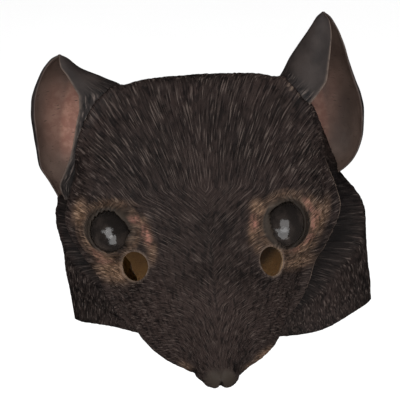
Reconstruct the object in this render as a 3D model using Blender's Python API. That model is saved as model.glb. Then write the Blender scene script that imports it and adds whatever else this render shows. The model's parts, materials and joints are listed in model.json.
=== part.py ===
"""A soft latex animal head mask with cupped ears, glossy eyes, two peepholes and a flaring neck skirt.

Lengths are in metres. The face looks along -Y, up is +Z, and left and right are those of someone facing the mask.
The outline tables are in hundredths of the three reach sizes, measured from the midpoint between the peepholes.
"""

import math

import bmesh
import bpy
import numpy as np
from mathutils import Vector
from mathutils.bvhtree import BVHTree

# Sizes of the head
CHEEK_REACH = 0.100
NOSE_REACH = 0.100
CROWN_REACH = 0.100
WALL = 0.0022
FIT_GAP = 0.0003
SEAT_BACK = 0.80
INSIDE_FROM = 0.012
INSIDE_TIP = 0.004

# Sizes of the eyes and the peepholes
FACE_SHIFT = -0.0017
EYE_WIDE = 0.028
EYE_TALL = 0.0285
EYE_DEEP = 0.023
EYE_ACROSS = 0.52
EYE_UP = 0.20
EYE_BACK = 0.090
EYE_TURN = 38.0
EYE_LEAN = 8.0
PEEP_WIDE = 0.0185
PEEP_TALL = 0.0175
PEEP_ACROSS = 0.376
PEEP_UP = 0.0
PEEP_TURN = 16.0
PEEP_LEAN = 20.0
PEEP_CUT = 0.06

# Size of the ears
EAR_WALL = 0.0022

# Where the left shoulder of the skirt stands out, where the hem rises on the left and falls on the right, as angles
# round the section in degrees, and how much it falls for each length that it rises
SHOULDER_AT = 293.0
SHOULDER_WIDE = 11.0
HEM_LEFT_AT = 240.0
HEM_RIGHT_AT = 132.0
HEM_WIDE = 20.0
HEM_FALL = 0.65

# Sections from the nose tip to the neck rim: centre back and up, tilt in degrees, shift to the right, lift of the
# right side, turn in degrees that brings the right side forward, the reach at each of the section angles from the top
# round to the bottom, what the left shoulder stands out, and what the left front of the hem rises.
SECTION_ANGLES = (0, 30, 60, 75, 90, 105, 120, 150, 180)
SECTIONS = (
    (-101.0, -30.5, 0, 0.0, 0, 0, (0.7, 0.7, 0.7, 0.7, 0.7, 0.7, 0.7, 0.7, 0.7), 0.0, 0.0),
    (-99.6, -30.5, 0, 0.0, 0, 0, (2.8, 4.6, 5.9, 6.2, 6.1, 5.9, 5.6, 4.9, 2.6), 0.0, 0.0),
    (-96.5, -30.5, 0, 0.0, 0, 0, (6.0, 7.4, 9.3, 10.0, 10.1, 9.7, 9.1, 7.3, 5.2), 0.0, 0.0),
    (-90.0, -30.2, 3, 0.0, 0, 0, (8.9, 9.5, 11.0, 11.6, 11.8, 11.5, 10.8, 8.6, 7.0), 0.0, 0.0),
    (-80.0, -28.8, 5, 0.5, 0, 0, (13.0, 13.0, 13.2, 13.6, 14.2, 14.8, 14.8, 11.0, 9.3), 0.0, 0.0),
    (-66.0, -26.0, 8, 1.5, 0, 0, (18.0, 17.5, 17.0, 17.2, 18.2, 20.4, 21.8, 16.5, 13.2), 0.0, 0.0),
    (-46.0, -20.0, 10, 2.5, 0, 0, (25.0, 25.0, 26.2, 27.0, 28.8, 32.5, 35.5, 26.5, 21.0), 0.0, 0.0),
    (-28.0, -14.5, 12, 3.0, 0, 0, (32.0, 32.5, 34.0, 34.5, 36.5, 40.5, 45.0, 34.5, 27.5), 0.0, 0.0),
    (-14.0, -9.0, 12, 3.0, 0, 0, (39.0, 41.0, 44.0, 43.0, 42.0, 46.0, 51.0, 40.5, 33.5), 0.0, 0.0),
    (0.0, -4.0, 14, 3.0, 0, 0, (48.0, 54.0, 61.0, 55.0, 48.5, 51.0, 55.5, 47.5, 40.0), 0.0, 0.0),
    (13.0, -1.0, 21, 3.0, 0, 0, (67.5, 75.5, 80.0, 71.5, 59.5, 57.0, 59.5, 54.5, 47.5), 0.0, 0.0),
    (21.0, -0.5, 26, 3.0, 1, 0, (86.5, 95.5, 87.5, 80.0, 67.0, 61.0, 62.5, 60.5, 51.5), 0.0, 0.0),
    (28.0, 0.0, 30, 5.0, 2, 0, (104.5, 113.0, 91.0, 88.0, 76.0, 67.5, 67.5, 64.0, 55.8), 0.0, 0.0),
    (30.5, -0.8, 31.5, 6.5, 3, 0, (108.5, 115.5, 87.0, 71.0, 55.5, 49.0, 52.0, 57.5, 56.3), 0.0, 0.0),
    (39.5, -4.0, 38, 9.5, 3, 0, (112.5, 113.0, 92.0, 86.0, 69.0, 60.0, 58.5, 59.5, 58.0), 3.5, 0.0),
    (48.0, -8.0, 45, 13.0, 3, 1, (107.5, 110.5, 95.5, 99.0, 93.0, 79.0, 71.5, 63.5, 60.0), 6.0, 0.0),
    (56.0, -24.0, 60, 15.5, 3, 2, (94.0, 92.5, 95.0, 97.0, 95.5, 82.5, 74.0, 61.5, 55.0), 3.0, 0.5),
    (62.0, -38.5, 75, 18.0, 4, 4, (77.0, 78.5, 87.0, 92.5, 95.5, 84.0, 75.5, 61.0, 52.5), 0.0, 3.0),
    (65.0, -57.5, 94, 20.0, 6, 6, (66.0, 70.0, 81.0, 90.0, 95.0, 85.5, 77.5, 62.0, 52.0), 0.0, 6.0),
)
RING_ANGLES = (
    0, 10, 20, 30, 38, 45, 50, 55, 60, 65, 70, 75, 80, 85, 90, 95, 100, 107,
    115, 123, 131, 139, 147, 155, 163, 172, 180,
)
FOLD_ROW = 12
BROW_ROW = 9

# Places along the form where its rings lie closer together: the section's row, how much closer, and over what length
CLOSE_RINGS = ((FOLD_ROW, 2.6, 0.014), (BROW_ROW, 0.9, 0.022), (1, 2.2, 0.012))
RINGS = 42
INNER_RINGS = 26
INNER_ANGLES = 28

# Levels of each ear from its root to its tip, in hundredths: height, reach of the inner wall, of the front rim and
# of the outer wall from the middle of the head, centre back, half depth, and the outer rim's angle in degrees.
EAR_LEVELS = {
    "ear_left": (
        (23.0, 71.0, 79.0, 83.0, 63, 6.0, 0),
        (32.0, 64.0, 82.0, 88.0, 67, 10.0, -10),
        (42.0, 58.0, 78.5, 94.0, 71, 14.0, -14),
        (51.0, 54.0, 75.0, 95.5, 76, 17.0, -16),
        (60.5, 50.0, 72.5, 96.8, 81, 18.0, -18),
        (70.0, 46.0, 70.5, 97.5, 85, 18.0, -18),
        (78.0, 43.0, 68.5, 97.0, 88, 17.0, -16),
        (84.0, 42.0, 68.5, 95.5, 89, 15.5, -14),
        (89.0, 52.0, 71.0, 93.3, 90, 14.0, -10),
        (96.0, 66.0, 75.0, 90.0, 89, 11.0, -6),
        (102.0, 73.0, 79.2, 85.8, 88, 7.5, 0),
        (106.5, 77.5, 80.0, 81.8, 87, 3.0, 0),
    ),
    "ear_right": (
        (29.0, 72.0, 76.0, 86.0, 65, 6.0, 0),
        (34.5, 68.0, 74.0, 98.0, 69, 10.0, -8),
        (43.0, 62.0, 72.0, 106.0, 74, 14.0, -14),
        (55.0, 56.0, 67.0, 109.6, 79, 18.0, -18),
        (67.0, 52.0, 67.0, 110.9, 84, 18.5, -18),
        (76.0, 51.0, 74.0, 109.4, 87, 18.5, -16),
        (84.5, 56.0, 81.0, 106.0, 88, 17.5, -14),
        (91.0, 60.5, 85.0, 103.6, 88, 16.5, -12),
        (98.0, 64.0, 86.0, 101.4, 88, 15.0, -10),
        (109.0, 70.5, 87.5, 98.0, 87, 11.5, -6),
        (118.0, 76.0, 88.5, 94.2, 86, 7.5, 0),
        (125.5, 80.0, 87.6, 90.0, 85, 4.0, 0),
        (130.0, 82.3, 85.4, 86.8, 85, 2.4, 0),
    ),
}
EAR_RINGS = 16
EAR_STEPS = 18

COLOURS = {
    "dark_latex": ((0.036, 0.026, 0.022), 0.62, 0.0),
    "ear_latex": ((0.058, 0.042, 0.036), 0.6, 0.0),
    "eye_gloss": ((0.004, 0.004, 0.004), 0.08, 0.0),
}


def curve(xs, ys, at):
    """Monotone cubic through (xs, ys), along the first axis of ys."""
    xs = np.asarray(xs, float)
    ys = np.asarray(ys, float)
    step = np.diff(xs).reshape((-1,) + (1,) * (ys.ndim - 1))
    slope = np.diff(ys, axis=0) / step
    tangent = np.zeros_like(ys)
    tangent[0] = slope[0]
    tangent[-1] = slope[-1]
    before = slope[:-1]
    after = slope[1:]
    w1 = 2 * step[1:] + step[:-1]
    w2 = step[1:] + 2 * step[:-1]
    same = before * after > 0
    safe_before = np.where(same, before, 1.0)
    safe_after = np.where(same, after, 1.0)
    tangent[1:-1] = np.where(same, (w1 + w2) / (w1 / safe_before + w2 / safe_after), 0.0)
    at = np.clip(np.asarray(at, float), xs[0], xs[-1])
    k = np.clip(np.searchsorted(xs, at, side="right") - 1, 0, len(xs) - 2)
    wide = (xs[k + 1] - xs[k]).reshape((-1,) + (1,) * (ys.ndim - 1))
    f = ((at - xs[k]).reshape(wide.shape)) / wide
    h00 = (1 + 2 * f) * (1 - f) ** 2
    h10 = f * (1 - f) ** 2
    h01 = f * f * (3 - 2 * f)
    h11 = f * f * (f - 1)
    return h00 * ys[k] + h10 * wide * tangent[k] + h01 * ys[k + 1] + h11 * wide * tangent[k + 1]


def section_reach(angles):
    """Reach of every section at the given angles, one row per section."""
    folded = np.abs((np.asarray(angles, float) + 180.0) % 360.0 - 180.0)
    columns = np.array([-SECTION_ANGLES[1], *SECTION_ANGLES, 360 - SECTION_ANGLES[-2]], float)
    reach = np.array([row[6] for row in SECTIONS], float)
    wrapped = np.concatenate([reach[:, 1:2], reach, reach[:, -2:-1]], axis=1)
    shoulder = np.array([row[7] for row in SECTIONS], float)
    left = np.exp(-(((np.asarray(angles, float) % 360.0) - SHOULDER_AT) / SHOULDER_WIDE) ** 2)
    return curve(columns, wrapped.T, folded).T + shoulder[:, None] * left


def stations():
    """Distance along the form at which each section lies, as the mean way over the surface."""
    angles = np.arange(0, 360, 15)
    reach = section_reach(angles)
    points = np.array([ring_points((*row[:6], row[8]), reach[i], angles) for i, row in enumerate(SECTIONS)])
    steps = np.linalg.norm(np.diff(points, axis=0), axis=2).mean(axis=1)
    return np.concatenate([[0.0], np.cumsum(steps)])


def ring_points(row, reach, angles):
    """Points of one section, in metres."""
    back, up, tilt, shift, lift, turn, hem = row
    around = np.radians(np.asarray(angles, float) + turn)
    place = np.asarray(angles, float) % 360.0
    raised = np.exp(-(((place - HEM_LEFT_AT) / HEM_WIDE) ** 2))
    raised -= HEM_FALL * np.exp(-(((place - HEM_RIGHT_AT) / HEM_WIDE) ** 2))
    across = reach * np.sin(around)
    along = reach * np.cos(around)
    lean = math.radians(tilt)
    x = (across + shift) * CHEEK_REACH / 100
    y = (back + along * math.sin(lean)) * NOSE_REACH / 100
    z = (up + along * math.cos(lean) + lift * across / 90 + hem * raised) * CROWN_REACH / 100
    return np.stack([x, y, z], axis=1)


def form_points(at, angles):
    """Grid of points of the head's outside at the stations and angles."""
    base = np.array([(*row[:6], row[8]) for row in SECTIONS], float)
    rows = curve(STATIONS, base, at)
    reach = curve(STATIONS, section_reach(angles), at)
    return np.array([ring_points(rows[i], reach[i], angles) for i in range(len(at))])


def form_normals(at, angles):
    """Outward normals of the head's outside on the same grid."""
    ds = 0.5 * WALL
    dt = 1.0
    at = np.asarray(at, float)
    low = np.maximum(at - ds, STATIONS[0] + 1e-6)
    high = np.minimum(at + ds, STATIONS[-1])
    along = form_points(high, angles) - form_points(low, angles)
    angles = np.asarray(angles, float)
    round_it = form_points(at, angles + dt) - form_points(at, angles - dt)
    normal = np.cross(round_it, along)
    length = np.linalg.norm(normal, axis=2, keepdims=True)
    return normal / np.maximum(length, 1e-12)


def ring_stations(count):
    """Stations of the rings: close together at the nose and at the cheek fold."""
    t = np.linspace(0.0, STATIONS[-1], 2001)
    density = np.ones(len(t))
    for row, closer, length in CLOSE_RINGS:
        density += closer * np.exp(-(((t - STATIONS[row]) / length) ** 2))
    way = np.concatenate([[0.0], np.cumsum((density[1:] + density[:-1]) / 2)])
    return np.interp(np.linspace(0, way[-1], count), way, t)


def full_turn(half):
    """Angles all round from those of one half."""
    return np.array([*half, *[360 - a for a in half[-2:0:-1]]], float)


def mesh_object(name, verts, faces, material, smooth=True):
    mesh = bpy.data.meshes.new(name)
    mesh.from_pydata([tuple(float(c) for c in v) for v in verts], [], faces)
    bm = bmesh.new()
    bm.from_mesh(mesh)
    bmesh.ops.recalc_face_normals(bm, faces=bm.faces)
    bmesh.ops.triangulate(bm, faces=bm.faces)
    bm.to_mesh(mesh)
    bm.free()
    for face in mesh.polygons:
        face.use_smooth = smooth
    obj = bpy.data.objects.new(name, mesh)
    bpy.context.collection.objects.link(obj)
    if material:
        mesh.materials.append(material)
    return obj


def closed_form(name, grid, tip, material):
    """Closed solid from rings, with a point at the nose and a flat face over the neck."""
    rings, around = grid.shape[:2]
    verts = [tip, *grid.reshape(-1, 3)]
    faces = [(0, 1 + (j + 1) % around, 1 + j) for j in range(around)]
    for i in range(rings - 1):
        a = 1 + i * around
        b = a + around
        for j in range(around):
            k = (j + 1) % around
            faces.append((a + j, a + k, b + k, b + j))
    last = 1 + (rings - 1) * around
    verts.append(grid[-1].mean(axis=0))
    faces += [(last + j, last + (j + 1) % around, len(verts) - 1) for j in range(around)]
    return mesh_object(name, verts, faces, material)


def outer_grid(offset):
    at = ring_stations(RINGS)[1:]
    angles = full_turn(RING_ANGLES)
    grid = form_points(at, angles) + offset * form_normals(at, angles)
    tip = form_points([STATIONS[0]], [0.0])[0, 0] + np.array([0.0, -offset, 0.0])
    return grid, tip


def inner_grid():
    """The inside of the skin, a wall's thickness in within each section, run on past the neck rim."""
    at = ring_stations(INNER_RINGS)
    at = at[at > INSIDE_FROM]
    angles = np.arange(INNER_ANGLES) * 360.0 / INNER_ANGLES
    rows = curve(STATIONS, np.array([(*row[:6], row[8]) for row in SECTIONS], float), at)
    reach = curve(STATIONS, section_reach(angles), at)
    outside, outside_tip = outer_grid(0.0)
    form = closed_form("outside", outside, outside_tip, None)
    body = bmesh.new()
    body.from_mesh(form.data)
    near = BVHTree.FromBMesh(body)
    body.free()
    bpy.data.objects.remove(form)
    rings = []
    for i in range(len(at)):
        ring = ring_points(rows[i], reach[i], angles)
        middle = ring_points(rows[i], 0.0 * reach[i], angles)
        ray = ring - middle
        ray /= np.linalg.norm(ray, axis=1, keepdims=True)
        inside = ring - ray * WALL
        for j in range(len(angles)):
            for _ in range(8):
                if i == len(at) - 1:
                    break
                gap = near.find_nearest(inside[j])[3]
                if gap > 0.97 * WALL:
                    break
                inside[j] -= ray[j] * max(WALL - gap, 0.1 * WALL)
        rings.append(inside)
    rings[-1] = ring - ray * WALL
    beyond = rings[-1] + (rings[-1] - rings[-2]) * 0.6
    grid = np.array([*rings[:-1], beyond])
    tip = grid[0].mean(axis=0) - np.array([0.0, INSIDE_TIP, 0.0])
    return grid, tip


def seat_point():
    """Where a wearer's crown meets the inside of the skin, on the middle plane."""
    grid = inner_grid()[0]
    line = grid[:-1, 0]
    top = line[line[:, 2] > 0]
    up = np.interp(SEAT_BACK * NOSE_REACH, top[:, 1], top[:, 2])
    return np.array([0.0, SEAT_BACK * NOSE_REACH, up])


def apply_difference(target, cutter):
    """Cuts the target by the cutter for good and takes the cutter away."""
    modifier = target.modifiers.new("cut", "BOOLEAN")
    modifier.operation = "DIFFERENCE"
    modifier.solver = "EXACT"
    modifier.object = cutter
    graph = bpy.context.evaluated_depsgraph_get()
    mesh = bpy.data.meshes.new_from_object(target.evaluated_get(graph))
    target.modifiers.clear()
    old = target.data
    target.data = mesh
    bpy.data.meshes.remove(old)
    bpy.data.objects.remove(cutter)
    for face in target.data.polygons:
        face.use_smooth = True


def keep_largest(obj):
    """Drops the loose trimmings that a cut leaves beside the main body."""
    body = bmesh.new()
    body.from_mesh(obj.data)
    left = set(body.faces)
    groups = []
    while left:
        stack = [left.pop()]
        group = list(stack)
        while stack:
            for edge in stack.pop().edges:
                for face in edge.link_faces:
                    if face in left:
                        left.remove(face)
                        stack.append(face)
                        group.append(face)
        groups.append(group)
    groups.sort(key=lambda g: sum(f.calc_area() for f in g))
    for group in groups[:-1]:
        bmesh.ops.delete(body, geom=group, context="FACES")
    body.to_mesh(obj.data)
    body.free()


def ellipsoid(name, half, middle, axes, material, around=20, levels=12):
    """Ellipsoid with half sizes along its own axes."""
    verts = [(0, 0, 1)]
    for i in range(1, levels):
        lat = math.pi * i / levels
        for j in range(around):
            lon = 2 * math.pi * j / around
            verts.append((math.sin(lat) * math.cos(lon), math.sin(lat) * math.sin(lon), math.cos(lat)))
    verts.append((0, 0, -1))
    faces = [(0, 1 + j, 1 + (j + 1) % around) for j in range(around)]
    for i in range(levels - 2):
        a = 1 + i * around
        for j in range(around):
            k = (j + 1) % around
            faces.append((a + j, a + around + j, a + around + k, a + k))
    a = 1 + (levels - 2) * around
    faces += [(a + j, len(verts) - 1, a + (j + 1) % around) for j in range(around)]
    points = np.array(verts) * np.array(half)
    points = points @ np.array(axes) + np.array(middle)
    return mesh_object(name, points, faces, material)


def tube(name, half_wide, half_tall, long, middle, axes, around=20):
    """Elliptical cutter along its own third axis."""
    ring = [(half_wide * math.cos(a), half_tall * math.sin(a)) for a in np.arange(around) * 2 * math.pi / around]
    verts = [(x, y, z) for z in (-long / 2, long / 2) for x, y in ring]
    faces = [tuple(range(around)), tuple(range(around, 2 * around))]
    faces += [(j, (j + 1) % around, around + (j + 1) % around, around + j) for j in range(around)]
    points = np.array(verts) @ np.array(axes) + np.array(middle)
    return mesh_object(name, points, faces, None, smooth=False)


def turned_axes(side, turn, lean):
    """Across, up and outward axes of something that faces forward, turned outward to its side and leant up."""
    a = math.radians(turn) * side
    b = math.radians(lean)
    out = np.array([math.sin(a) * math.cos(b), -math.cos(a) * math.cos(b), math.sin(b)])
    across = np.array([math.cos(a), math.sin(a), 0.0])
    up = np.cross(out, across) * -1
    if up[2] < 0:
        up = -up
    return np.array([across, up, out])


def eye_middle(side):
    return np.array([side * EYE_ACROSS * CHEEK_REACH + FACE_SHIFT, EYE_BACK * NOSE_REACH, EYE_UP * CROWN_REACH])


def ear_object(name, side, material):
    rows = np.array(EAR_LEVELS[name], float)
    place = np.linspace(0, 1, len(rows))
    at = np.linspace(0, 1, EAR_RINGS)
    rows = curve(place, rows, at)

    def sheet(at_row, share):
        up, inner, rim, outer, back, deep, start = at_row
        middle = (inner + outer) / 2
        half = (outer - inner) / 2
        end = 360.0 - math.degrees(math.acos(max(-1.0, min(0.6, (rim - middle) / half))))
        angle = np.radians(start + (end - start) * share)
        x = side * (middle + half * np.cos(angle))
        y = back + deep * np.sin(angle)
        return np.stack([x * CHEEK_REACH, y * NOSE_REACH, np.full_like(x, up) * CROWN_REACH], axis=1) / 100

    share = np.linspace(0, 1, EAR_STEPS)
    grid = np.array([sheet(row, share) for row in rows])
    du = np.gradient(grid, axis=0)
    dv = np.gradient(grid, axis=1)
    normal = np.cross(du, dv)
    normal /= np.linalg.norm(normal, axis=2, keepdims=True)
    front = grid + normal * EAR_WALL / 2
    rear = grid - normal * EAR_WALL / 2
    n, m = grid.shape[:2]
    verts = [*front.reshape(-1, 3), *rear.reshape(-1, 3)]
    half = n * m
    faces = []
    for i in range(n - 1):
        for j in range(m - 1):
            a = i * m + j
            faces.append((a, a + 1, a + m + 1, a + m))
            faces.append((half + a, half + a + m, half + a + m + 1, half + a + 1))
    for i in range(n - 1):
        for j in (0, m - 1):
            a = i * m + j
            faces.append((a, a + m, half + a + m, half + a))
    for j in range(m - 1):
        for i in (0, n - 1):
            a = i * m + j
            faces.append((a, a + 1, half + a + 1, half + a))
    return mesh_object(name, verts, faces, material)


for thing in list(bpy.data.objects):
    bpy.data.objects.remove(thing)

STATIONS = stations()
SEAT = seat_point()

materials = {}
for slot, (colour, roughness, metallic) in COLOURS.items():
    made = bpy.data.materials.new(slot)
    made.use_nodes = True
    shader = made.node_tree.nodes["Principled BSDF"]
    shader.inputs["Base Color"].default_value = (*colour, 1.0)
    shader.inputs["Roughness"].default_value = roughness
    shader.inputs["Metallic"].default_value = metallic
    materials[slot] = made

grid, tip = outer_grid(0.0)
hood = closed_form("hood_skin", grid, tip, materials["dark_latex"])
grid, tip = inner_grid()
apply_difference(hood, closed_form("hood_inside", grid, tip, None))

for side, name in ((-1, "eye_left"), (1, "eye_right")):
    half = np.array([EYE_WIDE, EYE_TALL, EYE_DEEP]) / 2
    axes = turned_axes(side, EYE_TURN, EYE_LEAN)
    middle = eye_middle(side)
    ellipsoid(name, half, middle, axes, materials["eye_gloss"])
    apply_difference(hood, ellipsoid("eye_socket", half + FIT_GAP, middle, axes, None))
    axes = turned_axes(side, PEEP_TURN, PEEP_LEAN)
    middle = (side * PEEP_ACROSS * CHEEK_REACH + FACE_SHIFT, 0.0, PEEP_UP * CROWN_REACH)
    apply_difference(hood, tube("peephole", PEEP_WIDE / 2, PEEP_TALL / 2, PEEP_CUT, middle, axes))

for side, name in ((-1, "ear_left"), (1, "ear_right")):
    ear = ear_object(name, side, materials["ear_latex"])
    grid, tip = outer_grid(FIT_GAP)
    apply_difference(ear, closed_form("head_form", grid, tip, None))
    keep_largest(ear)

for made in list(bpy.data.objects):
    for vertex in made.data.vertices:
        vertex.co = vertex.co - Vector(SEAT)
    made.data.update()
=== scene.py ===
"""Looks of the soft latex animal head mask: fur skin, painted eye rings, cupped ears and glossy eyes.

Lengths are in metres. The tables of sections and ears are in hundredths of the three reach sizes, from the
midpoint between the peepholes. Places in the front view are columns and rows of a picture of 400 by 400
pixels.
"""

import json
import math

import bmesh
import bpy
import numpy as np
from mathutils import Matrix, Vector
from mathutils.bvhtree import BVHTree
from mathutils.kdtree import KDTree

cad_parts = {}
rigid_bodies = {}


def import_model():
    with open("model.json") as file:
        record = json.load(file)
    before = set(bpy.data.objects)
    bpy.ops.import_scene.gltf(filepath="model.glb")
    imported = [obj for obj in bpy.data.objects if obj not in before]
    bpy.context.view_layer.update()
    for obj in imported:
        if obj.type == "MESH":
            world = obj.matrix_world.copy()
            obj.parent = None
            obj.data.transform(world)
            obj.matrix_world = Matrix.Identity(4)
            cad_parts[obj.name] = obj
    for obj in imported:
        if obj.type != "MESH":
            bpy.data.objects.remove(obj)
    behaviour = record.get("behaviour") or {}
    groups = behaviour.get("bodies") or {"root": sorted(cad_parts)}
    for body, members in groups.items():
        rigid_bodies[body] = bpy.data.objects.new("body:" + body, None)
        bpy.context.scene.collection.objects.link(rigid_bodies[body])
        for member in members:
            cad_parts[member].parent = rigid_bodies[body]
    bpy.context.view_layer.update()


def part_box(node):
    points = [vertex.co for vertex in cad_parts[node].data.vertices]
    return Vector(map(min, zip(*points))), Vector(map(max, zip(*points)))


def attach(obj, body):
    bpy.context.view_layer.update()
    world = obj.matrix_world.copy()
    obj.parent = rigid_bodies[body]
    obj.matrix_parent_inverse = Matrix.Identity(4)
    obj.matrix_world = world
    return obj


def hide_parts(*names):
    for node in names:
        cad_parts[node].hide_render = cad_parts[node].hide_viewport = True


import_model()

# Sizes shared with the CAD part
CHEEK_REACH = 0.100
NOSE_REACH = 0.100
CROWN_REACH = 0.100
WALL = 0.0022
FIT_GAP = 0.0003
FACE_SHIFT = -0.0017
EYE_WIDE = 0.028
EYE_TALL = 0.0285
EYE_DEEP = 0.023
EYE_ACROSS = 0.52
EYE_UP = 0.20
EYE_BACK = 0.090
EYE_TURN = 38.0
EYE_LEAN = 8.0
PEEP_WIDE = 0.0185
PEEP_TALL = 0.0175
PEEP_ACROSS = 0.376
PEEP_UP = 0.0
PEEP_TURN = 16.0
PEEP_LEAN = 20.0
EAR_WALL = 0.0022

SHOULDER_AT = 293.0
SHOULDER_WIDE = 11.0
HEM_LEFT_AT = 240.0
HEM_RIGHT_AT = 132.0
HEM_WIDE = 20.0
HEM_FALL = 0.65
FOLD_ROW = 12
BEHIND_ROW = 14
PEEP_CUT = 0.06
INSIDE_FROM = 0.012
INSIDE_TIP = 0.004

# Columns: back, up, tilt, shift, lift, turn, the reaches at the angles, and the shares of shoulder and hem
SECTION_ANGLES = (0, 30, 60, 75, 90, 105, 120, 150, 180)
SECTIONS = (
    (-101, -30.5, 0, 0, 0, 0, (0.7, 0.7, 0.7, 0.7, 0.7, 0.7, 0.7, 0.7, 0.7), 0, 0),
    (-99.6, -30.5, 0, 0, 0, 0, (2.8, 4.6, 5.9, 6.2, 6.1, 5.9, 5.6, 4.9, 2.6), 0, 0),
    (-96.5, -30.5, 0, 0, 0, 0, (6, 7.4, 9.3, 10, 10.1, 9.7, 9.1, 7.3, 5.2), 0, 0),
    (-90, -30.2, 3, 0, 0, 0, (8.9, 9.5, 11, 11.6, 11.8, 11.5, 10.8, 8.6, 7), 0, 0),
    (-80, -28.8, 5, 0.5, 0, 0, (13, 13, 13.2, 13.6, 14.2, 14.8, 14.8, 11, 9.3), 0, 0),
    (-66, -26, 8, 1.5, 0, 0, (18, 17.5, 17, 17.2, 18.2, 20.4, 21.8, 16.5, 13.2), 0, 0),
    (-46, -20, 10, 2.5, 0, 0, (25, 25, 26.2, 27, 28.8, 32.5, 35.5, 26.5, 21), 0, 0),
    (-28, -14.5, 12, 3, 0, 0, (32, 32.5, 34, 34.5, 36.5, 40.5, 45, 34.5, 27.5), 0, 0),
    (-14, -9, 12, 3, 0, 0, (39, 41, 44, 43, 42, 46, 51, 40.5, 33.5), 0, 0),
    (0, -4, 14, 3, 0, 0, (48, 54, 61, 55, 48.5, 51, 55.5, 47.5, 40), 0, 0),
    (13, -1, 21, 3, 0, 0, (67.5, 75.5, 80, 71.5, 59.5, 57, 59.5, 54.5, 47.5), 0, 0),
    (21, -0.5, 26, 3, 1, 0, (86.5, 95.5, 87.5, 80, 67, 61, 62.5, 60.5, 51.5), 0, 0),
    (28, 0, 30, 5, 2, 0, (104.5, 113, 91, 88, 76, 67.5, 67.5, 64, 55.8), 0, 0),
    (30.5, -0.8, 31.5, 6.5, 3, 0, (108.5, 115.5, 87, 71, 55.5, 49, 52, 57.5, 56.3), 0, 0),
    (39.5, -4, 38, 9.5, 3, 0, (112.5, 113, 92, 86, 69, 60, 58.5, 59.5, 58), 3.5, 0),
    (48, -8, 45, 13, 3, 1, (107.5, 110.5, 95.5, 99, 93, 79, 71.5, 63.5, 60), 6, 0),
    (56, -24, 60, 15.5, 3, 2, (94, 92.5, 95, 97, 95.5, 82.5, 74, 61.5, 55), 3, 0.5),
    (62, -38.5, 75, 18, 4, 4, (77, 78.5, 87, 92.5, 95.5, 84, 75.5, 61, 52.5), 0, 3),
    (65, -57.5, 94, 20, 6, 6, (66, 70, 81, 90, 95, 85.5, 77.5, 62, 52), 0, 6),
)
# Columns: up, inner edge, rim, outer edge, back, depth of the cup and the angle at which it starts
EAR_LEVELS = {
    "ear_left": (
        (23, 71, 79, 83, 63, 6, 0),
        (32, 64, 82, 88, 67, 10, -10),
        (42, 58, 78.5, 94, 71, 14, -14),
        (51, 54, 75, 95.5, 76, 17, -16),
        (60.5, 50, 72.5, 96.8, 81, 18, -18),
        (70, 46, 70.5, 97.5, 85, 18, -18),
        (78, 43, 68.5, 97, 88, 17, -16),
        (84, 42, 68.5, 95.5, 89, 15.5, -14),
        (89, 52, 71, 93.3, 90, 14, -10),
        (96, 66, 75, 90, 89, 11, -6),
        (102, 73, 79.2, 85.8, 88, 7.5, 0),
        (106.5, 77.5, 80, 81.8, 87, 3, 0),
    ),
    "ear_right": (
        (29, 72, 76, 86, 65, 6, 0),
        (34.5, 68, 74, 98, 69, 10, -8),
        (43, 62, 72, 106, 74, 14, -14),
        (55, 56, 67, 109.6, 79, 18, -18),
        (67, 52, 67, 110.9, 84, 18.5, -18),
        (76, 51, 74, 109.4, 87, 18.5, -16),
        (84.5, 56, 81, 106, 88, 17.5, -14),
        (91, 60.5, 85, 103.6, 88, 16.5, -12),
        (98, 64, 86, 101.4, 88, 15, -10),
        (109, 70.5, 87.5, 98, 87, 11.5, -6),
        (118, 76, 88.5, 94.2, 86, 7.5, 0),
        (125.5, 80, 87.6, 90, 85, 4, 0),
        (130, 82.3, 85.4, 86.8, 85, 2.4, 0),
    ),
}

# How finely the pieces are drawn
SKIN_RINGS = 205
SKIN_HALF = 208
INNER_RINGS = 44
INNER_ANGLES = 64
EAR_RINGS = 120
EAR_STEPS = 130
EAR_ROUND = 6
EAR_CAP = (0.35, 0.7, 1.05, 1.35)
EAR_DRAWN_WIDE = 0.09
EYE_AROUND = 96
EYE_LEVELS = 64
PEEP_AROUND = 72

EAR_SIDES = ((-1, "ear_left"), (1, "ear_right"))
EYE_SIDES = ((-1, "eye_left"), (1, "eye_right"))

# The camera of the front view, shared with the plane in which paint is placed
VIEW_TURN = -6.0
VIEW_RISE = 20.0
VIEW_AWAY = 1.2
PIXEL = 0.0006
VIEW_CENTRE = (202.5, 263.5)
PICTURE = 400
SENSOR = 36.0
FLOOR_AT = -0.42
FLOOR_HALF = 6.0

NEAR_BLACK = (0.0045, 0.0034, 0.0034)

# Ovals in the front view, as column, row, half width and half height: the lids' outer edge and the open eye
LID_OVAL = {-1: (109.0, 229.0, 24.5, 22.5), 1: (286.5, 223.5, 23.0, 25.0)}
DOME_OVAL = {-1: (111.5, 231.0, 20.0, 20.0), 1: (284.5, 224.0, 18.5, 22.5)}
LID_THICK = 0.0008
# How far the rear hem is lowered, so that no floor shows through a peephole
HEM_BACK = 0.0048
# The skin is grown by this before it cuts the ears, so that they stay clear of it
SEAM_GAP = 0.00012


def unit(vectors):
    return vectors / np.maximum(np.linalg.norm(vectors, axis=-1, keepdims=True), 1e-12)


def bell(value, wide):
    """Smooth hump, 1 where the value is nought."""
    return np.exp(-((value / wide) ** 2))


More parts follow.
